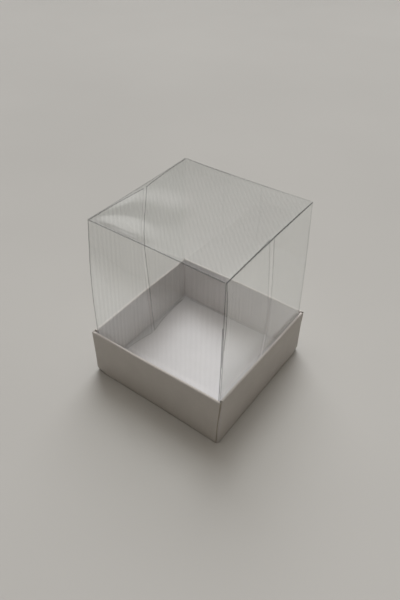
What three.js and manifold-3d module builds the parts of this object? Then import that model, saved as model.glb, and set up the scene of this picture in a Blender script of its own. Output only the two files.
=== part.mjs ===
// Favour box: a white card tray with rolled double walls, and a clear film lid that stands inside it.
// Both are folded from one blank each. Every panel between two creases is its own mesh.
// Millimetres, +Z up, origin at the centre of the tray's underside. Front is -Y, right is +X.
import * as THREE from "three";
import { mergeVertices } from "three/addons/utils/BufferGeometryUtils.js";
import Module from "manifold-3d";

const wasm = await Module();
wasm.setup();

// Lid
const LID_WIDTH = 80; // across the left and right walls
const LID_DEPTH = 80; // across the front and rear walls
const LID_HEIGHT = 100; // from the walls' lower edges to the top
const FILM = 0.3; // thickness of the clear film
const FILM_CREASE = 0.3; // inside radius of a crease in the film

// Lid's side flaps, which hang on the front and rear walls and lie inside the left and right walls
const FLAP_SEAM = 2; // gap between the free edges of two flaps that meet behind one wall
const FLAP_GAP = 0.3; // between a flap and the wall that it lies behind
const FLAP_HINGE_GAP = 0.1; // at the crease that the flap swings on
const FLAP_TOP_DROP = 0.5; // how far the top edge slopes down to the free edge
const FLAP_BOTTOM_RISE = 0.8; // how far the bottom edge slopes up to the free edge
const FLAP_END_GAP = 0.4; // under the lid's top crease, at the hinge edge
const FLAP_CORNER = 1; // radius of the two free corners

// Tray
const TRAY_HEIGHT = 29;
const BOARD = 0.45; // thickness of the card
const LID_CLEARANCE = 0.5; // between the lid's walls and the tray's inner walls
const PLY_CLEARANCE = 0.075; // each side of a corner flap, inside a double wall
const BOARD_CREASE = 0.7; // inside radius of the card's floor and corner creases
const CORNER_GROOVE = 0.9; // how far the front and rear walls stop short of the tray's corners
const INNER_WALL_LIFT = 0.1; // between an inner wall's lower edge and the floor
const INNER_END_GAP = 0.1; // between the ends of the inner walls and rim folds that meet at a corner

// Corner flaps of the tray, trapped inside the front and rear double walls
const CORNER_FLAP_LENGTH = 22;
const CORNER_FLAP_TOP_GAP = 0.5; // under the rim fold
const CORNER_FLAP_SLOPE = 3; // how far the flap narrows towards its free edge

// Facets in each quarter turn of a crease
const CREASE_STEPS = 6;

// Derived sizes
const wallGap = BOARD + 2 * PLY_CLEARANCE;
const wallThickness = 2 * BOARD + wallGap;
const rimRadius = wallThickness / 2;
const innerX = LID_WIDTH / 2 + LID_CLEARANCE;
const innerY = LID_DEPTH / 2 + LID_CLEARANCE;
const outerX = innerX + wallThickness;
const outerY = innerY + wallThickness;
const boardBend = BOARD_CREASE + BOARD;
const filmBend = FILM_CREASE + FILM;
const rimCentreZ = TRAY_HEIGHT - rimRadius;
const lidBottom = BOARD;
const lidTop = lidBottom + LID_HEIGHT;
const lidX = LID_WIDTH / 2;
const lidY = LID_DEPTH / 2;
const flapFaceX = lidX - FILM - FLAP_GAP; // outer face of a lid flap
const flapPlaneY = outerY - BOARD - PLY_CLEARANCE; // outer face of a tray corner flap

const board = () => new THREE.MeshStandardMaterial({ color: 0xd9d7d5, roughness: 0.85, metalness: 0 });

const film = () =>
  new THREE.MeshStandardMaterial({
    color: 0xe4ebe6,
    roughness: 0.12,
    metalness: 0,
    transparent: true,
    opacity: 0.25,
  });

// A closed outline, of straight runs and of arcs given as { centre, radius, from, to } in degrees.
function outline(pieces) {
  const points = [];
  for (const piece of pieces) {
    if (piece.radius === undefined) {
      points.push(new THREE.Vector2(piece.x, piece.y));
      continue;
    }
    const steps = Math.ceil((Math.abs(piece.to - piece.from) / 90) * CREASE_STEPS);
    for (let i = 0; i <= steps; i += 1) {
      const angle = THREE.MathUtils.degToRad(piece.from + ((piece.to - piece.from) * i) / steps);
      const x = piece.centre.x + piece.radius * Math.cos(angle);
      const y = piece.centre.y + piece.radius * Math.sin(angle);
      points.push(new THREE.Vector2(x, y));
    }
  }
  return new THREE.Shape(points);
}

const at = (x, y) => ({ x, y });

const arc = (centre, radius, from, to) => ({ centre, radius, from, to });

function extrude(shape, length) {
  return new THREE.ExtrudeGeometry(shape, { depth: length, bevelEnabled: false });
}

// A section drawn as (outwards, up), run along the front wall's length, centred on x = 0.
// Outwards is -Y, so the same section serves every wall after a turn about Z.
function alongWall(shape, length) {
  const geometry = extrude(shape, length);
  const outwards = new THREE.Vector3(0, -1, 0);
  const up = new THREE.Vector3(0, 0, 1);
  const along = new THREE.Vector3(-1, 0, 0);
  const turn = new THREE.Matrix4().makeBasis(outwards, up, along);
  geometry.applyMatrix4(turn);
  geometry.translate(length / 2, 0, 0);
  return geometry;
}

function toManifold(geometry) {
  const bare = geometry.clone();
  bare.deleteAttribute("normal");
  bare.deleteAttribute("uv");
  const merged = mergeVertices(bare, 1e-4);
  const mesh = new wasm.Mesh({
    numProp: 3,
    vertProperties: merged.getAttribute("position").array,
    triVerts: new Uint32Array(merged.getIndex().array),
  });
  return new wasm.Manifold(mesh);
}

function fromManifold(solid) {
  const mesh = solid.getMesh();
  const geometry = new THREE.BufferGeometry();
  geometry.setAttribute("position", new THREE.BufferAttribute(new Float32Array(mesh.vertProperties), 3));
  geometry.setIndex(new THREE.BufferAttribute(new Uint32Array(mesh.triVerts), 1));
  const faceted = geometry.toNonIndexed();
  faceted.computeVertexNormals();
  return faceted;
}

const box = new THREE.Group();
const tray = new THREE.Group();
const lid = new THREE.Group();
box.add(tray, lid);

function addPanel(group, name, geometry, material, quarterTurns = 0) {
  const mesh = new THREE.Mesh(geometry, material);
  mesh.name = name;
  mesh.rotation.z = (quarterTurns * Math.PI) / 2;
  group.add(mesh);
}

// Tray floor, between the four bottom creases
function trayFloor() {
  const width = 2 * (outerX - boardBend);
  const depth = 2 * (outerY - boardBend);
  const geometry = new THREE.BoxGeometry(width, depth, BOARD);
  geometry.translate(0, 0, BOARD / 2);
  return geometry;
}

// Outer ply: the quarter-round floor crease, then straight up to where the rim fold starts
function trayOuterWall(reach, length) {
  const crease = at(reach - boardBend, boardBend);
  const section = outline([
    arc(crease, boardBend, 270, 360),
    at(reach, rimCentreZ),
    at(reach - BOARD, rimCentreZ),
    arc(crease, BOARD_CREASE, 360, 270),
  ]);
  return alongWall(section, length);
}

// Inner ply: the half-round rim fold, then straight down to the floor.
// The front and rear rim folds are longer than their plies, and close the tray's top corners.
function trayInnerWall(reach, foldLength, plyLength) {
  const centre = at(reach - rimRadius, rimCentreZ);
  const lowerEdge = BOARD + INNER_WALL_LIFT;
  const fold = outline([arc(centre, rimRadius, 0, 180), arc(centre, wallGap / 2, 180, 0)]);
  const ply = outline([
    at(reach - wallThickness, rimCentreZ),
    at(reach - wallThickness, lowerEdge),
    at(reach - wallThickness + BOARD, lowerEdge),
    at(reach - wallThickness + BOARD, rimCentreZ),
  ]);
  const foldSolid = toManifold(alongWall(fold, foldLength));
  const plySolid = toManifold(alongWall(ply, plyLength));
  return fromManifold(foldSolid.add(plySolid));
}

// Corner flap: the upright crease at the end of a side wall, and the flap that it turns behind the front wall.
// Drawn for the front right corner; side is -1 for a mirror image and end is -1 for the rear.
function trayCornerFlap(side, end) {
  const crease = at(outerX - boardBend, -flapPlaneY + boardBend);
  const freeX = crease.x - CORNER_FLAP_LENGTH;
  const plan = outline([
    arc(crease, boardBend, 0, -90),
    at(freeX, -flapPlaneY),
    at(freeX, -flapPlaneY + BOARD),
    arc(crease, BOARD_CREASE, -90, 0),
  ]);
  const low = boardBend;
  const high = rimCentreZ - CORNER_FLAP_TOP_GAP;
  const whole = extrude(plan, high - low);
  whole.translate(0, 0, low);

  // The flap narrows towards its free edge, above and below.
  const face = new THREE.Shape([
    new THREE.Vector2(outerX + BOARD, low - BOARD),
    new THREE.Vector2(outerX + BOARD, high + BOARD),
    new THREE.Vector2(crease.x, high + BOARD),
    new THREE.Vector2(crease.x, high),
    new THREE.Vector2(freeX, high - CORNER_FLAP_SLOPE),
    new THREE.Vector2(freeX, low + CORNER_FLAP_SLOPE),
    new THREE.Vector2(crease.x, low),
    new THREE.Vector2(crease.x, low - BOARD),
  ]);
  const cutter = extrude(face, 2 * outerY);
  cutter.rotateX(Math.PI / 2);
  cutter.translate(0, outerY, 0);
  let solid = toManifold(whole).intersect(toManifold(cutter));
  if (side < 0) solid = solid.mirror([1, 0, 0]);
  if (end < 0) solid = solid.mirror([0, 1, 0]);
  return fromManifold(solid);
}

function buildTray() {
  const sideLength = 2 * (flapPlaneY - boardBend);
  const sideInnerLength = 2 * (innerY - INNER_END_GAP);
  const frontLength = 2 * (outerX - CORNER_GROOVE);
  const frontInnerLength = 2 * (innerX - INNER_END_GAP);
  addPanel(tray, "tray_floor", trayFloor(), board());
  const frontSize = { reach: outerY, outer: frontLength, fold: frontLength, ply: frontInnerLength };
  const sideSize = { reach: outerX, outer: sideLength, fold: sideInnerLength, ply: sideInnerLength };
  const walls = [
    { name: "front", size: frontSize },
    { name: "right", size: sideSize },
    { name: "rear", size: frontSize },
    { name: "left", size: sideSize },
  ];
  walls.forEach(({ name, size }, turns) => {
    const outer = trayOuterWall(size.reach, size.outer);
    const inner = trayInnerWall(size.reach, size.fold, size.ply);
    addPanel(tray, `tray_${name}_outer_wall`, outer, board(), turns);
    addPanel(tray, `tray_${name}_inner_wall`, inner, board(), turns);
  });
  for (const [endName, end] of [["front", 1], ["rear", -1]]) {
    for (const [sideName, side] of [["left", -1], ["right", 1]]) {
      addPanel(tray, `tray_${endName}_${sideName}_corner_flap`, trayCornerFlap(side, end), board());
    }
  }
}

// Lid top, between the four top creases
function lidTopPanel() {
  const geometry = new THREE.BoxGeometry(LID_WIDTH - 2 * filmBend, LID_DEPTH - 2 * filmBend, FILM);
  geometry.translate(0, 0, lidTop - FILM / 2);
  return geometry;
}

// The top crease and the wall below it, as a section (outwards, up)
function lidWallSection(reach) {
  const crease = at(reach - filmBend, lidTop - filmBend);
  return outline([
    at(reach, lidBottom),
    arc(crease, filmBend, 0, 90),
    arc(crease, FILM_CREASE, 90, 0),
    at(reach - FILM, lidBottom),
  ]);
}

// Left and right walls have raw side edges.
function lidSideWall() {
  return alongWall(lidWallSection(lidX), LID_DEPTH - 2 * filmBend);
}

// Front and rear walls carry an upright crease at each end, where a flap starts.
function lidFrontWall() {
  const bendX = flapFaceX - filmBend;
  const bendY = -lidY + filmBend;
  const right = at(bendX, bendY);
  const left = at(-bendX, bendY);
  const plan = outline([
    arc(left, filmBend, 180, 270),
    arc(right, filmBend, 270, 360),
    arc(right, FILM_CREASE, 360, 270),
    arc(left, FILM_CREASE, 270, 180),
  ]);
  const creased = extrude(plan, LID_HEIGHT - filmBend);
  creased.translate(0, 0, lidBottom);
  const topped = alongWall(lidWallSection(lidY), 2 * bendX);
  return fromManifold(toManifold(creased).add(toManifold(topped)));
}

// Flap: hinge edge at the crease, free edge half a seam short of the wall's middle.
// Drawn for the front right corner; side is -1 for a mirror image and end is -1 for the rear.
function lidFlap(side, end) {
  const hingeY = -lidY + filmBend + FLAP_HINGE_GAP;
  const freeY = -FLAP_SEAM / 2;
  const low = lidBottom;
  const high = lidTop - filmBend - FLAP_END_GAP;
  const face = outline([
    at(hingeY, low),
    arc(at(freeY - FLAP_CORNER, low + FLAP_BOTTOM_RISE + FLAP_CORNER), FLAP_CORNER, 270, 360),
    arc(at(freeY - FLAP_CORNER, high - FLAP_TOP_DROP - FLAP_CORNER), FLAP_CORNER, 0, 90),
    at(hingeY, high),
  ]);
  const geometry = extrude(face, FILM);
  const alongY = new THREE.Vector3(0, 1, 0);
  const up = new THREE.Vector3(0, 0, 1);
  const outwards = new THREE.Vector3(1, 0, 0);
  geometry.applyMatrix4(new THREE.Matrix4().makeBasis(alongY, up, outwards));
  geometry.translate(flapFaceX - FILM, 0, 0);
  let solid = toManifold(geometry);
  if (side < 0) solid = solid.mirror([1, 0, 0]);
  if (end < 0) solid = solid.mirror([0, 1, 0]);
  return fromManifold(solid);
}

function buildLid() {
  addPanel(lid, "lid_top_panel", lidTopPanel(), film());
  addPanel(lid, "lid_front_wall", lidFrontWall(), film());
  addPanel(lid, "lid_right_wall", lidSideWall(), film(), 1);
  addPanel(lid, "lid_rear_wall", lidFrontWall(), film(), 2);
  addPanel(lid, "lid_left_wall", lidSideWall(), film(), 3);
  for (const [endName, end] of [["front", 1], ["rear", -1]]) {
    for (const [sideName, side] of [["left", -1], ["right", 1]]) {
      addPanel(lid, `lid_${endName}_${sideName}_flap`, lidFlap(side, end), film());
    }
  }
}

buildTray();
buildLid();

export default box;
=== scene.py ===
import math

import bpy
import numpy as np
from mathutils import Matrix, Vector


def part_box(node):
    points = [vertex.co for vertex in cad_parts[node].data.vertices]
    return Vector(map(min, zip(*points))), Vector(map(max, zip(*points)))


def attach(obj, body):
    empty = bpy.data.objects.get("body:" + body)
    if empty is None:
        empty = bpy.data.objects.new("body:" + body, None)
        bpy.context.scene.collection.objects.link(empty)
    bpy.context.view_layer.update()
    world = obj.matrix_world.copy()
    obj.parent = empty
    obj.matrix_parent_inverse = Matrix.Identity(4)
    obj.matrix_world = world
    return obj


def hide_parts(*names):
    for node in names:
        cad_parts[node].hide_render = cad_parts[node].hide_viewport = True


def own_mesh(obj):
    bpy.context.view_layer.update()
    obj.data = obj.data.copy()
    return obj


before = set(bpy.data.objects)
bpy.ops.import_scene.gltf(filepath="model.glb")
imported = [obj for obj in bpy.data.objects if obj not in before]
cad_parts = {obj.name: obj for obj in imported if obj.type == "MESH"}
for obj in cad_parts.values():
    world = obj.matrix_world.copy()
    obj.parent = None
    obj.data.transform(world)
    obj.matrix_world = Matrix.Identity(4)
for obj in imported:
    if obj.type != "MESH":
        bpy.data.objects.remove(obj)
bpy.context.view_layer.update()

MM = 0.001


def box_mm(node):
    """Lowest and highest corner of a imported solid."""
    return [[round(value / MM, 3) for value in corner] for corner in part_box(node)]


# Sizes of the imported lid
wall_low, wall_high = box_mm("lid_right_wall")
top_low, top_high = box_mm("lid_top_panel")
LID_HALF = wall_high[0]
LID_BOTTOM = wall_low[2]
LID_TOP = wall_high[2]
FILM = round(top_high[2] - top_low[2], 3)
FILM_BEND = round(wall_high[0] - wall_low[0], 3)

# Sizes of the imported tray
outer_low, outer_high = box_mm("tray_right_outer_wall")
inner_low, inner_high = box_mm("tray_right_inner_wall")
corner_low = box_mm("tray_front_right_corner_flap")[0]
TRAY_HALF = outer_high[0]
TRAY_TOP = inner_high[2]
BOARD = box_mm("tray_floor")[1][2]
BOARD_BEND = round(TRAY_HALF - outer_low[0], 3)
PLY_INSET = round(TRAY_HALF - inner_low[0], 3)
INNER_END = inner_high[1]
INNER_FOOT = inner_low[2]
CORNER_PLANE = -corner_low[1]
CORNER_FLAP = round(TRAY_HALF - BOARD_BEND - corner_low[0], 3)
RIM_RADIUS = PLY_INSET / 2
RIM_CENTRE = TRAY_TOP - RIM_RADIUS

# Quarter turns from the front wall to each wall
TURNS = {"front": 0, "right": 1, "rear": 2, "left": 3}
ENDS = {"front": -1, "rear": 1}
SIDES = {"left": -1, "right": 1}

# Camera, as solved from the photograph's corners
CAMERA_PLACE = (146.6, -212.1, 257.5)
CAMERA_AZIMUTH = 36.55
CAMERA_ELEVATION = 35.47
CAMERA_ROLL = -0.26
CAMERA_SENSOR = 36
CAMERA_LENS = 37.19
CAMERA_SHIFT = (0.025, -0.075)
CAMERA_CLIP = (5, 30000)

# How the tray stands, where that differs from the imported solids
FOOT_BEND = 0.75  # outside radius of the crease between the floor and a wall
TAPER = 0.35  # how much nearer the middle a wall's foot is than its rim
WALL_ZONE = (36, 40)  # distances from the middle over which the floor's form gives way to the walls'
BOW = {"front": 0.2, "right": 0.02, "rear": 0.6, "left": 0.12}  # how far each rim's middle stands out
# Slow waves of the walls and the rim: height, length over two pi, and phase
SIDE_WAVE = (0.05, 9, 1.0)
END_WAVE = (0.05, 8, 2.0)
RIM_WAVE_X = (0.07, 11, 0.6)
RIM_WAVE_Y = (0.07, 13, 2.1)
FRONT_KICK = 1.5  # how far the front wall's foot stands out at its right end
RIGHT_KICK = 0.5  # how far the right wall's foot stands out at its front end
CORNER_ZONE = (75, 84)  # sums of the distances along X and Y over which a lower corner is rubbed
CORNER_TUCK = 0.65  # how far a lower corner is rubbed in
TUCK_HEIGHT = 3.5
TUCK_LIFT = 0.9  # how much a rubbed corner rises, as a share of how far it is rubbed in
REAR_LEFT_OUT = 1.2  # how far the rear left corner is drawn out along each side
RIM_DIP = 0.3  # how much lower the right wall's rim is at its middle
FOLD_LAP = 0.3  # how far below the round of the rim its fold starts

# How far the front and rear panels run to their left and right ends: at the foot, below the rim and over it
END_FEET = {"front": (41.05, 40.75), "rear": (41.05, 41.05)}
END_TOPS = {"front": (41.75, 41.5), "rear": (41.7, 41.6)}
RIM_ENDS = {"front": (41.85, 41.45), "rear": (41.8, 41.7)}
LEAN_START = 8  # height from which those raw ends lean out
# How much shorter a side wall's rim is than its inner ply, at its left and right ends
RIM_SHORTER = {"right": (0.4, 0.1), "left": (0.5, 0.9)}

# Corner folds, and the flaps that they carry behind the front and rear panels
CORNER_FOOT = 0.2  # height of a fold's foot
CORNER_TOP = 0.2  # how far below the rim a fold's top is
CORNER_DROP = 1.05  # how much lower the top is once the fold is behind the panel
DROP_SPAN = (0.2, 0.6)  # shares of the fold's turn over which it drops
CORNER_STEP = 0.7  # how far a flap's edges stand back at once, just behind the fold
STEP_LENGTH = 1.5
CORNER_SLOPE = 3.0  # how far they close in along the flap
GROOVE_BEHIND = 0.3  # how far the shaded groove runs behind a raw end
GROOVE_WIDTH = 0.15  # how far it shows beside that end

# How the lid stands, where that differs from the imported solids
RACK_OUT = 1.1  # how far the front right and rear left top corners lean out
RACK_IN = 0.45  # how far the other two lean in
LEAN_SOFTNESS = 0.02  # how softly the lean starts at the tray's rim
REAR_RIGHT_LIFT = 0.5  # how much higher the rear right top corner is
SIDE_SWELL = 1.25  # how far the middle of a side wall bulges
FRONT_SWELL = 0.7
REAR_SWELL = 0.9
BARREL = 0.3  # how far an upright crease bulges
FRONT_LEFT_BARREL = 0.8
BULGE_POWER = 6  # how fast the bulge fades inwards from the walls
FLARE = 0.4  # how far the side walls spread at the tray's rim
FLARE_FOOT = 0.25  # share of that spread at the lid's foot
FLARE_RISE = (0, 25)
FLARE_FALL = (40, 95)
SOFTER = {"front": 0.1, "right": 0.25, "rear": 1.0, "left": 0.1}  # how much rounder each top crease is
SAG = 0.5  # of the top panel's middle
HELD_SHARE = 0.06  # share of the top panel, at each side, over which its sag and buckle fade out

# The buckle by the front left corner of the top
BUCKLE_HEIGHT = 0.45
BUCKLE_CREST = (-18, -25)  # the rearmost place of its curved crest
BUCKLE_CURVE = 0.025
BUCKLE_SOFTNESS = 0.9
BUCKLE_FRONT_SLOPE = 0.115
BUCKLE_FRONT_LENGTH = 11
BUCKLE_REAR_SLOPE = 0.075
BUCKLE_REAR_LENGTH = 23
BUCKLE_MIDDLE = -24
BUCKLE_HALF_WIDTH = 17.5

# The right wall's front edge, which stands back from the corner high up
EDGE_BACK = 1.1
EDGE_BACK_RISE = (58, 80)
EDGE_BACK_FALL = (90, LID_TOP)
EDGE_BACK_START = 30  # distance from the wall's middle
EDGE_LINE_FROM = 60  # height from which it shows as a line

# The lid's side flaps
FLAP_GAP = 0.05  # between a flap and the side wall that it lies behind
FLAP_FACE = LID_HALF - FILM - FLAP_GAP
FLAP_CORNER = 0.6
FLAP_FOOT_RISE = 0.8  # how much a flap's foot rises towards its free edge
FLAP_TOP_GAP = 0.25  # between a flap and the top panel
FLAP_TOP_FALL = 0.1  # how much a flap's top falls towards its free edge
CURL_POWER = 2.2  # how late along a flap its curl comes
# How far a flap's free edge stands in from its side wall: height and distance
LEFT_CURL = (
    (0, 4.6), (10, 3.8), (20, 3.0), (30, 2.2), (40, 1.6), (50, 0.95),
    (60, 0.3), (70, 0.1), (80, 0.55), (90, 1.2), (100, 1.8),
)
FRONT_RIGHT_CURL = (
    (0, 2.8), (10, 2.1), (20, 1.35), (30, 0.6), (40, 0.15), (60, 0.15), (80, 0.55), (100, 1.05),
)
REAR_RIGHT_CURL = ((0, 2.3), (10, 1.7), (20, 1.1), (30, 0.5), (40, 0.2), (60, 0.15), (100, 0.4))
# For each flap, how far short of the lid's middle it ends, its curl, and the width of its free edge's line
FLAPS = {
    ("front", "left"): (0.1, LEFT_CURL, 0.1),
    ("rear", "left"): (2.0, LEFT_CURL, 0.5),
    ("front", "right"): (0.7, FRONT_RIGHT_CURL, 0.35),
    ("rear", "right"): (2.0, REAR_RIGHT_CURL, 0.35),
}

# Cells of the grids
FLOOR_STEPS = 48
WALL_STEPS = 44
PLY_STEPS = 16
FOOT_STEPS = 8
RIM_STEPS = 14
FOLD_STEPS = 24
CORNER_FLAP_STEPS = 24
CORNER_ROWS = 18
TOP_STEPS = 96
UPRIGHT_STEPS = 48
CREASE_STEPS = 8
BEND_STEPS = 8
FLAP_STEPS = 32
FLAP_CORNER_STEPS = 8
FLAP_ROWS = 44
TABLE_STEPS = 16

# Places in the lists of materials, for film and for card
BODY, CREASE, EDGE, BEND = 0, 1, 2, 3
# GROOVE carries the card's painted shade at the raw ends, and FOLD its painted shade over the folds.
CARD_EDGE, GROOVE, FOLD = 1, 2, 3

# Dark lines of the lid, painted shade that stands in for how its creases and cut edges refract darker
# surroundings
EDGE_STRIP = 0.4  # width of a cut edge's line
# Dark cells of each top crease, from its upright side to its flat side
TOP_LINES = {"front": ((3, 5),), "right": ((3, 6),), "rear": ((3, 4),), "left": ((0, 1), (5, 6))}
# The rear crease's line is wider near the lid's left side
WIDE_LINE = (2, 4)
WIDE_LINE_FROM = 8  # distance from the wall's middle
# Dark cells along each wrapped wall, and the heights between which they are dark
UPRIGHT_LINES = {
    "front": ((1, 6, 0, LID_TOP), (-8, -5, 0, 74), (-3, -1, 50, LID_TOP)),
    "rear": ((1, 6, 0, LID_TOP),),
}
# What shows at each wall's left and right ends
WALL_ENDS = {"front": (EDGE, EDGE), "right": (EDGE, BODY), "rear": (BODY, BODY), "left": (BODY, EDGE)}

# Table and lights.
TABLE_HALF = 4000
WINDOW = dict(azimuth=212, elevation=55, spread=36, strength=2.14, colour=(0.98, 0.99, 1.0))
CEILING = dict(azimuth=212, elevation=88, spread=50, strength=0.78, colour=(1.0, 0.965, 0.91))
# Light from the room by the height of its direction: 0 is level and 1 straight up
AMBIENT = ((0.0, 0.012), (0.35, 0.02), (0.8, 0.08), (0.94, 0.35), (1.0, 0.5))
AMBIENT_TINT = (1.0, 0.84, 0.64)
MIRRORED = ((0.0, 0.4), (0.22, 0.35), (0.38, 0.05), (0.48, 0.08), (0.58, 0.4), (0.72, 0.75), (1.0, 0.85))
MIRRORED_TINT = (1.0, 1.0, 1.0)
MIRRORED_STRENGTH = 1.6
FILM_LAYERS = 32  # how many films a ray may pass

# Materials
NOISE_RANGE = (0.3, 0.7)
HAZE_RANGE = (0.35, 0.7)
FILM_TINT = (0.997, 1.0, 0.998)
GLANCE_POWER = 5.0  # how fast the film's gloss rises towards glancing views
SMOOTH_ANGLE = 40  # edges of a sheet sharper than this stay sharp


def place_in_scene(name, data):
    thing = bpy.data.objects.new(name, data)
    bpy.context.scene.collection.objects.link(thing)
    return thing


def direction_to(azimuth, elevation):
    a, e = math.radians(azimuth), math.radians(elevation)
    return Vector((math.sin(a) * math.cos(e), -math.cos(a) * math.cos(e), math.sin(e)))


def make_camera():
    azimuth, roll = math.radians(CAMERA_AZIMUTH), math.radians(CAMERA_ROLL)
    back = direction_to(CAMERA_AZIMUTH, CAMERA_ELEVATION)
    level = Vector((math.cos(azimuth), math.sin(azimuth), 0))
    upright = back.cross(level)
    right = math.cos(roll) * level - math.sin(roll) * upright
    up = math.sin(roll) * level + math.cos(roll) * upright
    data = bpy.data.cameras.new("camera")
    data.sensor_width = CAMERA_SENSOR
    data.lens = CAMERA_LENS
    data.shift_x, data.shift_y = CAMERA_SHIFT
    data.clip_start, data.clip_end = (distance * MM for distance in CAMERA_CLIP)
    camera = place_in_scene("camera", data)
    turn = Matrix((right, up, back)).transposed().to_4x4()
    camera.matrix_world = Matrix.Translation(Vector(CAMERA_PLACE) * MM) @ turn
    bpy.context.scene.camera = camera


make_camera()


# Materials

class Graph:
    """The nodes of a material or of the world. Its methods add nodes and give the output to go on with."""

    def __init__(self, owner):
        owner.use_nodes = True
        self.nodes = owner.node_tree.nodes
        self.links = owner.node_tree.links
        self.nodes.clear()

    def feed(self, socket, value):
        """Join an output to a socket, or set the socket's own number, vector or colour."""
        if isinstance(value, bpy.types.NodeSocket):
            self.links.new(value, socket)
        elif isinstance(value, tuple) and len(value) < len(socket.default_value):
            socket.default_value = (*value, 1)
        else:
            socket.default_value = value

    def add(self, kind, **values):
        """A node of that kind. A key that names an input feeds it, and any other sets the node's property."""
        node = self.nodes.new(kind)
        for key, value in values.items():
            if key in node.inputs:
                self.feed(node.inputs[key], value)
            else:
                setattr(node, key, value)
        return node

    def place(self, output="Object"):
        return self.add("ShaderNodeTexCoord").outputs[output]

    def noise(self, place, scale, detail=3.0, roughness=0.55, density=None):
        """Noise with about that many features per metre, times density along each axis."""
        if density is not None:
            place = self.add("ShaderNodeMapping", Vector=place, Scale=density).outputs["Vector"]
        node = self.add("ShaderNodeTexNoise", Vector=place, Scale=scale, Detail=detail, Roughness=roughness)
        return node.outputs["Fac"]

    def remap(self, value, source, target):
        """A number moved from one range to another, and held within it."""
        node = self.add("ShaderNodeMapRange", Value=value)
        for name, number in zip(("From Min", "From Max", "To Min", "To Max"), (*source, *target)):
            node.inputs[name].default_value = number
        return node.outputs["Result"]

    def math(self, operation, first, second):
        node = self.add("ShaderNodeMath", operation=operation)
        self.feed(node.inputs[0], first)
        self.feed(node.inputs[1], second)
        return node.outputs["Value"]

    def mix(self, share, first, second, blend_type="MIX"):
        """Two colours mixed. The node's colour inputs have no names of their own, only places."""
        node = self.add("ShaderNodeMix", data_type="RGBA", blend_type=blend_type)
        for index, value in ((0, share), (6, first), (7, second)):
            self.feed(node.inputs[index], value)
        return node.outputs[2]

    def combine(self, red, green, blue):
        return self.add("ShaderNodeCombineColor", Red=red, Green=green, Blue=blue).outputs["Color"]

    def ramp(self, value, stops, tint):
        """A tinted light level that goes from stop to stop. A stop is a position and a level."""
        node = self.add("ShaderNodeValToRGB", Fac=value)
        elements = node.color_ramp.elements
        while len(elements) < len(stops):
            elements.new(1.0)
        for element, (position, level) in zip(elements, stops):
            element.position = position
            element.color = (*(level * part for part in tint), 1)
        return node.outputs["Color"]

    def bump(self, height, strength, distance):
        node = self.add("ShaderNodeBump", Strength=strength, Distance=distance, Height=height)
        return node.outputs["Normal"]

    def mix_shaders(self, share, first, second):
        node = self.add("ShaderNodeMixShader")
        for socket, value in zip(node.inputs, (share, first, second)):
            self.feed(socket, value)
        return node.outputs["Shader"]

    def finish(self, surface, kind="ShaderNodeOutputMaterial"):
        self.add(kind, Surface=surface)


def card_colour(graph, place, fibres, pale, dull):
    """Cloudy tone between pale and dull, with fibres and a few darker specks."""
    clouds = graph.noise(place, scale=90, detail=4)
    specks = graph.noise(place, scale=2100, detail=2, roughness=0.5)
    tone = graph.mix(graph.remap(clouds, NOISE_RANGE, (0, 1)), pale, dull)
    fibre_tone = graph.remap(fibres, NOISE_RANGE, (0.955, 1.02))
    fleck = graph.remap(specks, (0.7, 0.78), (1, 0.93))
    shade = graph.math("MULTIPLY", fibre_tone, fleck)
    return graph.mix(1.0, tone, graph.combine(shade, shade, shade), "MULTIPLY")


def card_material(name, pale, dull, roughness=0.78):
    """Uncoated white card, with a fine tooth and roughness that follows its fibres."""
    material = bpy.data.materials.new(name)
    graph = Graph(material)
    place = graph.place()
    fibres = graph.noise(place, scale=1400, detail=5, roughness=0.65, density=(1, 1.6, 1))
    tooth = graph.noise(place, scale=3200, roughness=0.6)
    height = graph.math("ADD", graph.math("MULTIPLY", fibres, 0.6), tooth)
    shader = graph.add(
        "ShaderNodeBsdfPrincipled",
        Roughness=graph.remap(fibres, NOISE_RANGE, (roughness - 0.06, roughness + 0.08)),
        Normal=graph.bump(height, strength=0.35, distance=0.06 * MM),
    )
    shader.inputs["Specular IOR Level"].default_value = 0.2
    graph.feed(shader.inputs["Base Color"], card_colour(graph, place, fibres, pale, dull))
    graph.finish(shader.outputs["BSDF"])
    return material


def drawn_lines(graph, place):
    """The film's fine lines: upright on the walls, and aslant over the top, where they are 2 mm apart."""
    turned = graph.add("ShaderNodeMapping", Vector=place, Rotation=(0, 0, math.radians(45)))
    lines = graph.add(
        "ShaderNodeTexWave", Vector=turned.outputs["Vector"], Scale=152, Distortion=1.6, Detail=2.0,
        bands_direction="Y",
    )
    return lines.outputs["Fac"]


def film_material(name, clear, spread, gloss, roughness, ripple):
    """Clear film. clear is what one face lets through, and spread how far that varies over the drawn lines
    and the haze. The gloss rises towards glancing views, alike on both faces, because a thin sheet has no
    inside to look at."""
    material = bpy.data.materials.new(name)
    graph = Graph(material)
    place = graph.place()
    haze = graph.noise(place, scale=34, roughness=0.5)
    passed = graph.math(
        "ADD",
        graph.remap(drawn_lines(graph, place), (0, 1), (-spread, spread)),
        graph.remap(haze, HAZE_RANGE, (clear, clear - spread)),
    )
    tint = graph.combine(*(graph.math("MULTIPLY", passed, part) for part in FILM_TINT))
    through = graph.add("ShaderNodeBsdfTransparent", Color=tint)
    waves = graph.noise(place, scale=55, detail=2, roughness=0.45, density=(1, 1, 0.6))
    mirror = graph.add(
        "ShaderNodeBsdfAnisotropic",
        Color=(0.95, 0.95, 0.95),
        Roughness=graph.remap(haze, HAZE_RANGE, (roughness, roughness + 0.05)),
        Normal=graph.bump(waves, strength=ripple, distance=0.6 * MM),
    )
    facing = graph.add("ShaderNodeLayerWeight", Blend=0.5).outputs["Facing"]
    share = graph.remap(graph.math("POWER", facing, GLANCE_POWER), (0, 1), (gloss, 1))
    graph.finish(graph.mix_shaders(share, through.outputs["BSDF"], mirror.outputs["BSDF"]))
    return material


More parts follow.
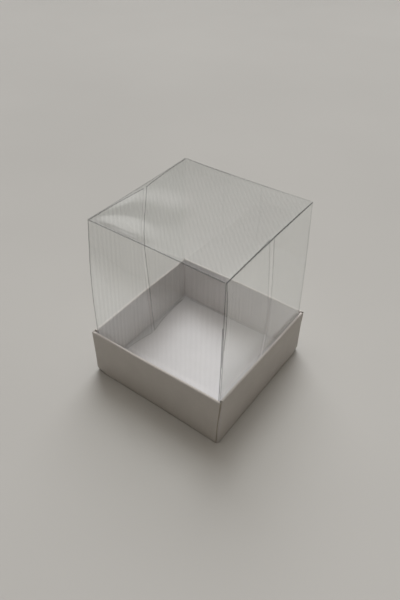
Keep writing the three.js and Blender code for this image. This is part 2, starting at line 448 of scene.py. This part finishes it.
def table_material():
    material = bpy.data.materials.new("table")
    graph = Graph(material)
    place = graph.place()
    clouds = graph.noise(place, scale=3)
    grain = graph.noise(place, scale=700)
    colour = graph.mix(
        graph.remap(clouds, NOISE_RANGE, (0, 1)), (0.5, 0.494, 0.48), (0.465, 0.459, 0.446)
    )
    shader = graph.add("ShaderNodeBsdfPrincipled", Roughness=graph.remap(grain, NOISE_RANGE, (0.5, 0.6)))
    shader.inputs["Specular IOR Level"].default_value = 0.3
    graph.feed(shader.inputs["Base Color"], colour)
    graph.finish(shader.outputs["BSDF"])
    return material


# One white card in lit and shaded copies. The floor's copy is tinted a little cool, as painted cool light.
card = card_material("white_card", (0.76, 0.752, 0.78), (0.722, 0.715, 0.742))
# Painted light: the inner walls' copy is paler and pinker, standing in for light bounced off the floor.
card_inner_painted_light = card_material("white_card_inner", (0.86, 0.815, 0.808), (0.82, 0.777, 0.77))
# Painted shade: the outer faces' copy is darker and warmer, standing in for the warm shade on them.
card_outer_painted_shade = card_material("white_card_outer", (0.724, 0.686, 0.642), (0.684, 0.648, 0.607))
card_edge = card_material("card_cut_edge", (0.60, 0.57, 0.53), (0.52, 0.49, 0.45), roughness=0.9)
# Partly painted shade: the front and rear panels' raw ends, browner than a cut edge of their own and darkened
# further as shade, and the fold cells in the groove beside them.
card_groove_shade = card_material("card_shaded_edge", (0.5, 0.44, 0.37), (0.42, 0.37, 0.31), roughness=0.9)
# Painted shade: the rim's fold and the corner folds, darker and warmer than the inner card.
card_fold_shade = card_material("card_fold_painted_shade", (0.72, 0.685, 0.66), (0.67, 0.635, 0.61), roughness=0.82)
film = film_material("clear_film", 0.995, spread=0.005, gloss=0.052, roughness=0.02, ripple=0.2)
film_top = film_material("clear_film_top", 0.992, spread=0.009, gloss=0.052, roughness=0.02, ripple=0.2)
# Painted shade: the creases' dark lines, standing in for how a crease refracts darker surroundings.
film_crease_shade = film_material("film_crease_shade", 0.46, spread=0.04, gloss=0.06, roughness=0.15, ripple=0.3)
# Painted shade: the cut edges' dark lines, standing in for how an edge refracts darker surroundings.
film_edge_shade = film_material("film_cut_edge_painted_shade", 0.66, spread=0.04, gloss=0.08, roughness=0.18, ripple=0.3)
# Painted shade: the top creases are a little darker all over, standing in for how the bend refracts.
film_bend_shade = film_material("film_bend_shade", 0.9, spread=0.02, gloss=0.06, roughness=0.08, ripple=0.3)
FLOOR_SLOTS = (card, card_edge, card_groove_shade)
INNER_SLOTS = (card_inner_painted_light, card_edge, card_groove_shade, card_fold_shade)
OUTER_SLOTS = (card_outer_painted_shade, card_edge, card_groove_shade)
CORNER_SLOTS = (card_fold_shade, card_edge, card_groove_shade)
TOP_SLOTS = (film_top, film_crease_shade, film_edge_shade, film_bend_shade)
FILM_SLOTS = (film, film_crease_shade, film_edge_shade, film_bend_shade)


# Sheets

def spaced(low, high, steps, crowd=0.0):
    """Numbers from low to high. crowd above 0 packs them towards both ends."""
    t = np.linspace(0, 1, steps + 1)
    eased = (1 - np.cos(np.pi * t)) / 2
    return low + (high - low) * ((1 - crowd) * t + crowd * eased)


def smooth(value, low, high):
    """0 below low and 1 above high, with a soft rise between them."""
    t = np.clip((value - low) / (high - low), 0, 1)
    return t * t * (3 - 2 * t)


def arc_points(centre, radius, start, stop, steps):
    angles = np.radians(np.linspace(start, stop, steps + 1))
    return [(centre[0] + radius * math.cos(a), centre[1] + radius * math.sin(a)) for a in angles]


def quarter_turns(points, turns):
    """Points turned about Z by that many quarter turns."""
    x, y, z = points[..., 0], points[..., 1], points[..., 2]
    for _ in range(turns):
        x, y = -y, x
    return np.stack([x, y, z], axis=-1)


def skin_faces(kept, slots):
    """Faces of both skins, their slots, and the edges round the kept cells, in the order they were met."""
    width = kept.shape[1] + 1
    count = (kept.shape[0] + 1) * width
    faces, face_slots, border = [], [], {}
    for i, j in np.argwhere(kept).tolist():
        corner = i * width + j
        loop = [corner, corner + width, corner + width + 1, corner + 1]
        faces.append(loop)
        faces.append([k + count for k in reversed(loop)])
        face_slots += [int(slots[i, j])] * 2
        for a, b in zip(loop, loop[1:] + loop[:1]):
            if (b, a) in border:
                del border[(b, a)]
            else:
                border[(a, b)] = True
    return faces, face_slots, list(border)


def rim_faces(border, shape, rim_slots):
    """Faces that join both skins round the border, and their slots, by the side of the grid they are on."""
    rows, width = shape[0], shape[1] + 1
    count = (rows + 1) * width
    faces, face_slots = [], []
    for a, b in border:
        faces.append([b, a, a + count, b + count])
        row_sum = a // width + b // width
        column_sum = a % width + b % width
        sides = (row_sum == 0, row_sum == 2 * rows, column_sum == 0, True)
        face_slots.append(rim_slots[sides.index(True)])
    return faces, face_slots


def sheet(name, middle, thickness, materials, kept=None, slots=None, rim_slots=(CARD_EDGE,) * 4):
    """A closed thin body from a grid of points on its middle surface. kept says which cells of the grid are
    there, and slots which material each has. rim_slots gives the material of the cut edges at the grid's
    first row, last row, first column and last column."""
    shape = (middle.shape[0] - 1, middle.shape[1] - 1)
    kept = np.ones(shape, bool) if kept is None else kept
    slots = np.zeros(shape, int) if slots is None else slots
    normal = np.cross(np.gradient(middle, axis=0), np.gradient(middle, axis=1))
    normal /= np.linalg.norm(normal, axis=2, keepdims=True)
    skins = np.concatenate([
        (middle + normal * thickness / 2).reshape(-1, 3),
        (middle - normal * thickness / 2).reshape(-1, 3),
    ])
    faces, face_slots, border = skin_faces(kept, slots)
    more_faces, more_slots = rim_faces(border, shape, rim_slots)
    faces += more_faces
    face_slots += more_slots
    used = sorted({k for face in faces for k in face})
    renumber = {k: n for n, k in enumerate(used)}
    mesh = bpy.data.meshes.new(name)
    vertices = [tuple(point) for point in skins[used] * MM]
    mesh.from_pydata(vertices, [], [[renumber[k] for k in face] for face in faces])
    for material in materials:
        mesh.materials.append(material)
    mesh.polygons.foreach_set("material_index", face_slots)
    mesh.polygons.foreach_set("use_smooth", [True] * len(mesh.polygons))
    mesh.update()
    mesh.set_sharp_from_angle(angle=math.radians(SMOOTH_ANGLE))
    return place_in_scene(name, mesh)


# Tray

def wave(along, form):
    height, length, phase = form
    return height * np.sin(along / length + phase)


def tray_form(points):
    """The tray as it stands: its walls are flared, bowed and kicked out a little, and its lower corners, but
    not the front right one, are rubbed round."""
    x, y, z = points[..., 0], points[..., 1], points[..., 2]
    rise = np.clip(z / TRAY_TOP, 0, 1)
    narrowed = 1 - TAPER / TRAY_HALF * (1 - rise)
    near_x = smooth(np.abs(x), *WALL_ZONE) * np.sign(x)
    near_y = smooth(np.abs(y), *WALL_ZONE) * np.sign(y)
    bow_x = np.cos(np.pi * np.clip(x / (2 * TRAY_HALF), -0.5, 0.5))
    bow_y = np.cos(np.pi * np.clip(y / (2 * TRAY_HALF), -0.5, 0.5))
    side_bow = np.where(x > 0, BOW["right"], BOW["left"]) * bow_y + wave(y, SIDE_WAVE)
    end_bow = np.where(y > 0, BOW["rear"], BOW["front"]) * bow_x + wave(x, END_WAVE)
    to_right = np.clip((x + TRAY_HALF) / (2 * TRAY_HALF), 0, 1)
    to_front = np.clip((TRAY_HALF - y) / (2 * TRAY_HALF), 0, 1)
    front_kick = FRONT_KICK * to_right ** 2 * (y < 0) * (1 - rise)
    right_kick = RIGHT_KICK * to_front ** 2 * (x > 0) * (1 - rise)
    rubbed = np.where((x > 0) & (y < 0), 0.0, 1.0) * smooth(np.abs(x) + np.abs(y), *CORNER_ZONE)
    tuck = CORNER_TUCK * rubbed * (1 - smooth(z, 0, TUCK_HEIGHT))
    drawn = REAR_LEFT_OUT * (1 - x / TRAY_HALF) / 2 * (1 + y / TRAY_HALF) / 2
    dip = RIM_DIP * np.maximum(near_x, 0) * bow_y * rise
    new_x = x * narrowed + near_x * (side_bow * rise + right_kick) - np.sign(x) * tuck - drawn
    new_y = y * narrowed + near_y * (end_bow * rise + front_kick) - np.sign(y) * tuck + drawn
    new_z = z + TUCK_LIFT * tuck - dip + rise * (wave(x, RIM_WAVE_X) + wave(y, RIM_WAVE_Y))
    return np.stack([new_x, new_y, new_z], axis=-1)


def outer_profile():
    """Section of an outer ply, as (outwards, up): from the floor crease up, to just under the rim fold."""
    face = TRAY_HALF - BOARD / 2
    start = [(TRAY_HALF - BOARD_BEND, BOARD / 2)]
    foot = arc_points((TRAY_HALF - FOOT_BEND, FOOT_BEND), FOOT_BEND - BOARD / 2, -90, 0, FOOT_STEPS)
    upright = [(face, up) for up in spaced(FOOT_BEND, RIM_CENTRE - FOLD_LAP, PLY_STEPS)[1:]]
    return start + foot + upright


def inner_profile():
    """Section of an inner ply: from just under the rim fold, over it and down to the floor."""
    face = TRAY_HALF - BOARD / 2
    inside = TRAY_HALF - PLY_INSET + BOARD / 2
    start = [(face, RIM_CENTRE - FOLD_LAP), (face, RIM_CENTRE - FOLD_LAP / 3)]
    fold = arc_points((TRAY_HALF - RIM_RADIUS, RIM_CENTRE), RIM_RADIUS - BOARD / 2, 0, 180, RIM_STEPS)
    down = [(inside, up) for up in spaced(RIM_CENTRE, INNER_FOOT, PLY_STEPS)[1:]]
    return start + fold + down


def tray_ply(wall, ply, profile, reaches, materials, end_slot=CARD_EDGE, fold=0):
    """A card panel with that section, along a wall. reaches gives, for each point of the section, how far
    the panel runs to the left and to the right of the wall's middle. fold is how many cells of the section,
    from its start, are the rim's fold, painted darker as shade."""
    share = spaced(0, 1, WALL_STEPS, crowd=0.5)
    grid = np.zeros((WALL_STEPS + 1, len(profile), 3))
    for j, ((out, up), (left, right)) in enumerate(zip(profile, reaches)):
        grid[:, j, 0] = -left + (left + right) * share
        grid[:, j, 1] = -out
        grid[:, j, 2] = up
    slots = np.zeros((WALL_STEPS, len(profile) - 1), int)
    slots[:, :fold] = FOLD
    middle = tray_form(quarter_turns(grid, TURNS[wall]))
    rim_slots = (end_slot, end_slot, CARD_EDGE, CARD_EDGE)
    piece = sheet(f"tray_{wall}_{ply}_card", middle, BOARD, materials, slots=slots, rim_slots=rim_slots)
    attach(piece, "tray")
    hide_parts(f"tray_{wall}_{ply}_wall")


def end_reach(wall, side, up):
    """How far a front or rear panel runs at that height, to its left (0) or its right (1)."""
    foot, top = END_FEET[wall][side], END_TOPS[wall][side]
    return foot + (top - foot) * smooth(up, LEAN_START, RIM_CENTRE)


def tray_end_wall(wall):
    """The front or rear wall, whose raw ends lie over the corner folds."""
    outer, inner = outer_profile(), inner_profile()
    reaches = [[end_reach(wall, side, up) for side in (0, 1)] for _, up in outer]
    tray_ply(wall, "outer", outer, reaches, OUTER_SLOTS, end_slot=GROOVE)
    over = [smooth(out, TRAY_HALF - PLY_INSET + BOARD, TRAY_HALF - BOARD) for out, _ in inner]
    reaches = [[INNER_END + (end - INNER_END) * share for end in RIM_ENDS[wall]] for share in over]
    tray_ply(wall, "inner", inner, reaches, INNER_SLOTS, fold=RIM_STEPS + 1)


def tray_side_wall(wall):
    """The left or right wall, whose outer ply ends at the corner folds and whose rim is a little shorter."""
    outer, inner = outer_profile(), inner_profile()
    fold_start = CORNER_PLANE - BOARD_BEND
    tray_ply(wall, "outer", outer, [(fold_start, fold_start)] * len(outer), OUTER_SLOTS)
    high = [smooth(up, RIM_CENTRE - PLY_INSET, TRAY_TOP) for _, up in inner]
    reaches = [[INNER_END - shorter * share for shorter in RIM_SHORTER[wall]] for share in high]
    tray_ply(wall, "inner", inner, reaches, INNER_SLOTS, fold=RIM_STEPS + 1)


def tray_floor():
    half = TRAY_HALF - BOARD_BEND
    places = spaced(-half, half, FLOOR_STEPS, crowd=0.3)
    grid = np.zeros((FLOOR_STEPS + 1, FLOOR_STEPS + 1, 3))
    grid[..., 0] = places[:, None]
    grid[..., 1] = places[None, :]
    grid[..., 2] = BOARD / 2
    piece = sheet("tray_floor_card", tray_form(grid), BOARD, FLOOR_SLOTS)
    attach(piece, "tray")
    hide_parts("tray_floor")


def corner_flap_grid(end, side):
    """Middle surface of a corner fold and its flap, from the side wall round and behind the panel."""
    centre = (TRAY_HALF - BOARD_BEND, CORNER_PLANE - BOARD_BEND)
    plan = arc_points(centre, BOARD_BEND - BOARD / 2, 0, 90, FOLD_STEPS)
    along = spaced(0, CORNER_FLAP, CORNER_FLAP_STEPS, crowd=0.6)[1:]
    plan += [(centre[0] - behind, CORNER_PLANE - BOARD / 2) for behind in along]
    grid = np.zeros((CORNER_ROWS + 1, len(plan), 3))
    for j, (x, y) in enumerate(plan):
        behind = max(0.0, centre[0] - x)
        slope = CORNER_SLOPE * behind / CORNER_FLAP + CORNER_STEP * smooth(behind, 0, STEP_LENGTH)
        low = CORNER_FOOT + slope
        high = TRAY_TOP - CORNER_TOP - CORNER_DROP * smooth(j / FOLD_STEPS, *DROP_SPAN) - slope
        grid[:, j, 0] = side * x
        grid[:, j, 1] = end * y
        grid[:, j, 2] = spaced(low, high, CORNER_ROWS)
    return grid


def corner_flap(end_name, side_name):
    """The upright fold at the end of a side wall, and the flap trapped inside the front or rear wall."""
    end, side = ENDS[end_name], SIDES[side_name]
    grid = corner_flap_grid(end, side)
    # The fold is painted dark beside the panel's raw end, as the shade in the groove there. The rear panel's
    # left end is at the right wall.
    raw_end = end_reach(end_name, int(side * end < 0), grid[..., 2])
    beside = np.abs(grid[..., 0]) - raw_end
    middle = (beside[:-1, :-1] + beside[1:, 1:]) / 2
    slots = np.where((middle > -GROOVE_BEHIND) & (middle < GROOVE_WIDTH), GROOVE, BODY)
    if side * end > 0:
        grid, slots = grid[::-1], slots[::-1]
    name = f"tray_{end_name}_{side_name}_corner"
    piece = sheet(f"{name}_card", tray_form(grid), BOARD, CORNER_SLOTS, slots=slots)
    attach(piece, "tray")
    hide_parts(f"{name}_flap")


def build_tray():
    tray_floor()
    for wall in ("front", "rear"):
        tray_end_wall(wall)
    for wall in ("right", "left"):
        tray_side_wall(wall)
    for end_name in ENDS:
        for side_name in SIDES:
            corner_flap(end_name, side_name)


# Lid

def lid_form(points):
    """The lid as it stands: a little racked, spread at the tray's rim, with barrelled walls above it."""
    x, y, z = points[..., 0], points[..., 1], points[..., 2]
    across_x, across_y = x / LID_HALF, y / LID_HALF
    above = (z - TRAY_TOP) / (LID_TOP - TRAY_TOP)
    lean = (np.sqrt(above * above + LEAN_SOFTNESS ** 2) + above) / 2
    swell = np.sin(np.pi * np.clip(above, 0, 1))
    middle_x = np.cos(np.pi / 2 * np.clip(across_x, -1, 1))
    middle_y = np.cos(np.pi / 2 * np.clip(across_y, -1, 1))
    front_left = np.clip(-across_x, 0, 1) ** 2 * np.clip(-across_y, 0, 1) ** 2
    corner = BARREL + (FRONT_LEFT_BARREL - BARREL) * front_left
    end_swell = np.where(y > 0, REAR_SWELL, FRONT_SWELL)
    flare = FLARE * (FLARE_FOOT + (1 - FLARE_FOOT) * smooth(z, *FLARE_RISE)) * (1 - smooth(z, *FLARE_FALL))
    out_x = np.abs(across_x) ** BULGE_POWER * (swell * (corner + (SIDE_SWELL - corner) * middle_y) + flare)
    out_y = np.abs(across_y) ** BULGE_POWER * swell * (corner + (end_swell - corner) * middle_x)
    rack = (RACK_IN + RACK_OUT) / 2 + (RACK_IN - RACK_OUT) / 2 * across_x * across_y
    new_x = x - rack * across_y * lean + np.sign(x) * out_x
    new_y = y - rack * across_x * lean + np.sign(y) * out_y
    rear_right = np.clip((1 + across_x) / 2, 0, 1) * np.clip((1 + across_y) / 2, 0, 1)
    new_z = z + REAR_RIGHT_LIFT * lean * rear_right
    return np.stack([new_x, new_y, new_z], axis=-1)


def crease_radius(wall, along):
    """Outside radius of a top crease at that place along X or Y. The rear one is softest towards the left."""
    t = np.clip(along / LID_HALF, -1, 1)
    extra = SOFTER[wall] * (1 - t ** 4)
    if wall == "rear":
        extra = extra * (0.5 - 0.5 * t)
    return FILM_BEND + extra


def soft_ramp(value, softness):
    """0 below 0 and the value itself above it, with a soft bend between."""
    return np.log1p(np.exp(value / softness)) * softness


def buckle(x, y):
    """The buckle beside the front left corner of the top. Its curved crest falls steeply to the front, where
    the slope looks up at the light and shows as a pale lens, and slowly to the rear, where it shows dark."""
    behind = y - BUCKLE_CREST[1] + BUCKLE_CURVE * (x - BUCKLE_CREST[0]) ** 2
    ahead_run = np.minimum(soft_ramp(-behind, BUCKLE_SOFTNESS), BUCKLE_FRONT_LENGTH)
    behind_run = soft_ramp(behind, BUCKLE_SOFTNESS)
    height = BUCKLE_HEIGHT - BUCKLE_FRONT_SLOPE * ahead_run - BUCKLE_REAR_SLOPE * behind_run
    side_fade = np.exp(-(((x - BUCKLE_MIDDLE) / BUCKLE_HALF_WIDTH) ** 4))
    rear_fade = np.exp(-((np.maximum(behind, 0) / BUCKLE_REAR_LENGTH) ** 4))
    return height * side_fade * rear_fade


def lid_top():
    share = spaced(0, 1, TOP_STEPS, crowd=0.15)
    flat = -LID_HALF + FILM_BEND + (2 * LID_HALF - 2 * FILM_BEND) * share
    x, y = np.meshgrid(flat, flat, indexing="ij")
    left, right = crease_radius("left", y), crease_radius("right", y)
    front, rear = crease_radius("front", x), crease_radius("rear", x)
    new_x = -LID_HALF + left + (2 * LID_HALF - left - right) * share[:, None]
    new_y = -LID_HALF + front + (2 * LID_HALF - front - rear) * share[None, :]
    free = smooth(np.minimum(share, 1 - share), 0, HELD_SHARE)
    arch = np.sin(np.pi * share)
    form = buckle(new_x, new_y) - SAG * arch[:, None] * arch[None, :]
    z = LID_TOP - FILM / 2 + free[:, None] * free[None, :] * form
    middle = lid_form(np.stack([new_x, new_y, z], axis=-1))
    piece = sheet("lid_top_film", middle, FILM, TOP_SLOTS, rim_slots=(BODY,) * 4)
    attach(piece, "lid")
    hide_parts("lid_top_panel")


def wall_plan(wrapped):
    """A wall seen from above, as (along, outwards). A wrapped one has the upright creases at its ends."""
    face = LID_HALF - FILM / 2
    reach = (FLAP_FACE if wrapped else LID_HALF) - FILM_BEND
    flat = spaced(-reach, reach, WALL_STEPS, crowd=0.5)
    if not wrapped:
        strips = [-reach + EDGE_STRIP], [reach - EDGE_STRIP]
        flat = np.concatenate([flat[:1], strips[0], flat[1:-1], strips[1], flat[-1:]])
        return [(along, face) for along in flat]
    centre = (reach, LID_HALF - FILM_BEND)
    bend = arc_points(centre, FILM_BEND - FILM / 2, 90, 0, BEND_STEPS)[1:]
    return [(-along, out) for along, out in reversed(bend)] + [(along, face) for along in flat] + bend


def wall_grid(name, plan):
    """Middle surface of a wall and its top crease, as the front wall's."""
    grid = np.zeros((len(plan), UPRIGHT_STEPS + CREASE_STEPS + 1, 3))
    # The rear and left walls run against the axes that the crease radius is measured along.
    sign = -1 if name in ("rear", "left") else 1
    for column, (along, out) in zip(grid, plan):
        radius = crease_radius(name, sign * along)
        centre = (LID_HALF - radius, LID_TOP - radius)
        crease = arc_points(centre, radius - FILM / 2, 0, 90, CREASE_STEPS)[1:]
        column[:, 0] = along
        column[: UPRIGHT_STEPS + 1, 1] = -out
        column[: UPRIGHT_STEPS + 1, 2] = spaced(LID_BOTTOM, LID_TOP - radius, UPRIGHT_STEPS, crowd=0.2)
        column[UPRIGHT_STEPS + 1 :, 1:] = [(-out, up) for out, up in crease]
    if name == "right":
        height = grid[..., 2]
        back = EDGE_BACK * smooth(height, *EDGE_BACK_RISE) * (1 - smooth(height, *EDGE_BACK_FALL))
        grid[..., 0] += back * smooth(-grid[..., 0], EDGE_BACK_START, LID_HALF - FILM_BEND)
    return grid


def wall_slots(name, grid):
    """Slots of a wall's cells: its top crease, and the painted dark lines of creases and cut edges."""
    slots = np.zeros((grid.shape[0] - 1, grid.shape[1] - 1), int)
    slots[:, UPRIGHT_STEPS:] = BEND
    for first, last in TOP_LINES[name]:
        slots[:, UPRIGHT_STEPS + first : UPRIGHT_STEPS + last] = CREASE
    if name == "rear":
        wide = grid[:-1, 0, 0] > WIDE_LINE_FROM
        slots[wide, UPRIGHT_STEPS + WIDE_LINE[0] : UPRIGHT_STEPS + WIDE_LINE[1]] = CREASE
    heights = grid[-1, :UPRIGHT_STEPS, 2]
    for first, last, low, high in UPRIGHT_LINES.get(name, ()):
        slots[first:last, :UPRIGHT_STEPS][:, (heights > low) & (heights < high)] = CREASE
    if name == "right":
        slots[0, grid[0, :-1, 2] > EDGE_LINE_FROM] = EDGE
    return slots


def lid_wall(name, wrapped):
    """A wall with its top crease. A wrapped one also has the upright creases that its flaps hang on."""
    grid = wall_grid(name, wall_plan(wrapped))
    slots = wall_slots(name, grid)
    kept = np.ones(slots.shape, bool)
    if wrapped:
        # The top crease stops where the upright creases start.
        kept[:BEND_STEPS, UPRIGHT_STEPS:] = False
        kept[-BEND_STEPS:, UPRIGHT_STEPS:] = False
    middle = lid_form(quarter_turns(grid, TURNS[name]))
    rim_slots = (*WALL_ENDS[name], EDGE, BODY)
    piece = sheet(f"lid_{name}_film", middle, FILM, FILM_SLOTS, kept, slots, rim_slots)
    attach(piece, "lid")
    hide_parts(f"lid_{name}_wall")


def flap_grid(end, side, stations, length, curl):
    """Middle surface of a flap, with its corners rounded and its free edge curled in."""
    crease = LID_HALF - FILM_BEND
    curl_heights, curl_distances = zip(*curl)
    grid = np.zeros((len(stations), FLAP_ROWS + 2, 3))
    for column, along in zip(grid, stations):
        share = along / length
        inside = max(0.0, along - (length - FLAP_CORNER))
        bite = FLAP_CORNER - math.sqrt(max(0.0, FLAP_CORNER ** 2 - inside ** 2))
        low = LID_BOTTOM + FLAP_FOOT_RISE * share + bite
        high = LID_TOP - FILM - FLAP_TOP_GAP - FLAP_TOP_FALL * share - bite
        z = np.append(spaced(low, high - EDGE_STRIP, FLAP_ROWS, crowd=0.15), high)
        inward = np.interp(z, curl_heights, curl_distances) * share ** CURL_POWER
        column[:, 0] = side * (FLAP_FACE - FILM / 2 - inward)
        column[:, 1] = end * (crease - along)
        column[:, 2] = z
    return grid


def lid_flap(end_name, side_name):
    """A flap from its crease to its free edge. Folded right over, it lies flat along its wall."""
    end, side = ENDS[end_name], SIDES[side_name]
    short, curl, line = FLAPS[end_name, side_name]
    length = LID_HALF - FILM_BEND - short
    straight = length - FLAP_CORNER
    round_part = straight + FLAP_CORNER * np.sin(np.radians(np.linspace(0, 90, FLAP_CORNER_STEPS + 1)))[1:]
    stations = np.concatenate([spaced(0, straight, FLAP_STEPS, crowd=0.2), round_part])
    grid = flap_grid(end, side, stations, length, curl)
    slots = np.zeros((len(stations) - 1, FLAP_ROWS + 1), int)
    # A flap's free edge shows as a painted dark line.
    slots[(stations[:-1] + stations[1:]) / 2 > length - line, :] = EDGE
    slots[:, -1] = EDGE
    if side * end < 0:
        grid, slots = grid[::-1], slots[::-1]
    name = f"{end_name}_{side_name}_flap"
    rim_slots = (BODY, BODY, EDGE, EDGE)
    piece = sheet(f"lid_{name}_film", lid_form(grid), FILM, FILM_SLOTS, slots=slots, rim_slots=rim_slots)
    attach(piece, name)
    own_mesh(piece)
    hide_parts(f"lid_{name}")


def build_lid():
    lid_top()
    lid_wall("front", wrapped=True)
    lid_wall("right", wrapped=False)
    lid_wall("rear", wrapped=True)
    lid_wall("left", wrapped=False)
    for end_name, side_name in FLAPS:
        lid_flap(end_name, side_name)


# Stage and light

def build_table():
    line = np.linspace(-TABLE_HALF, TABLE_HALF, TABLE_STEPS + 1) * MM
    vertices = [(x, y, 0.0) for x in line for y in line]
    width = TABLE_STEPS + 1
    corners = [i * width + j for i in range(TABLE_STEPS) for j in range(TABLE_STEPS)]
    faces = [(k, k + width, k + width + 1, k + 1) for k in corners]
    mesh = bpy.data.meshes.new("table")
    mesh.from_pydata(vertices, [], faces)
    mesh.materials.append(table_material())
    place_in_scene("table", mesh)


def soft_sun(name, azimuth, elevation, spread, strength, colour):
    """A distant soft light, which the film doesn't mirror."""
    direction = direction_to(azimuth, elevation)
    data = bpy.data.lights.new(name, "SUN")
    data.angle = math.radians(spread)
    data.energy = strength
    data.color = colour
    lamp = place_in_scene(name, data)
    lamp.location = direction
    lamp.rotation_mode = "QUATERNION"
    lamp.rotation_quaternion = direction.to_track_quat("Z", "Y")
    lamp.visible_glossy = False


def build_room():
    """The dim warm room lights the faces that the window doesn't, more from the ceiling than from the sides.
    What the film mirrors is pale low down, dim above that, and bright overhead."""
    world = bpy.data.worlds.new("room")
    bpy.context.scene.world = world
    graph = Graph(world)
    rays = graph.add("ShaderNodeLightPath").outputs
    seen = graph.math("MAXIMUM", rays["Is Camera Ray"], rays["Is Glossy Ray"])
    seen = graph.math("MAXIMUM", seen, rays["Is Transmission Ray"])
    height = graph.add("ShaderNodeSeparateXYZ", Vector=graph.place("Generated")).outputs["Z"]
    ambient = graph.add("ShaderNodeBackground", Color=graph.ramp(height, AMBIENT, AMBIENT_TINT))
    mirrored_colour = graph.ramp(height, MIRRORED, MIRRORED_TINT)
    mirrored = graph.add("ShaderNodeBackground", Color=mirrored_colour, Strength=MIRRORED_STRENGTH)
    mixed = graph.mix_shaders(seen, ambient.outputs["Background"], mirrored.outputs["Background"])
    graph.finish(mixed, "ShaderNodeOutputWorld")


build_tray()
build_lid()
build_table()
soft_sun("window", **WINDOW)
soft_sun("ceiling", **CEILING)
build_room()

scene = bpy.context.scene
scene.view_settings.view_transform = "Standard"
scene.cycles.transparent_max_bounces = FILM_LAYERS
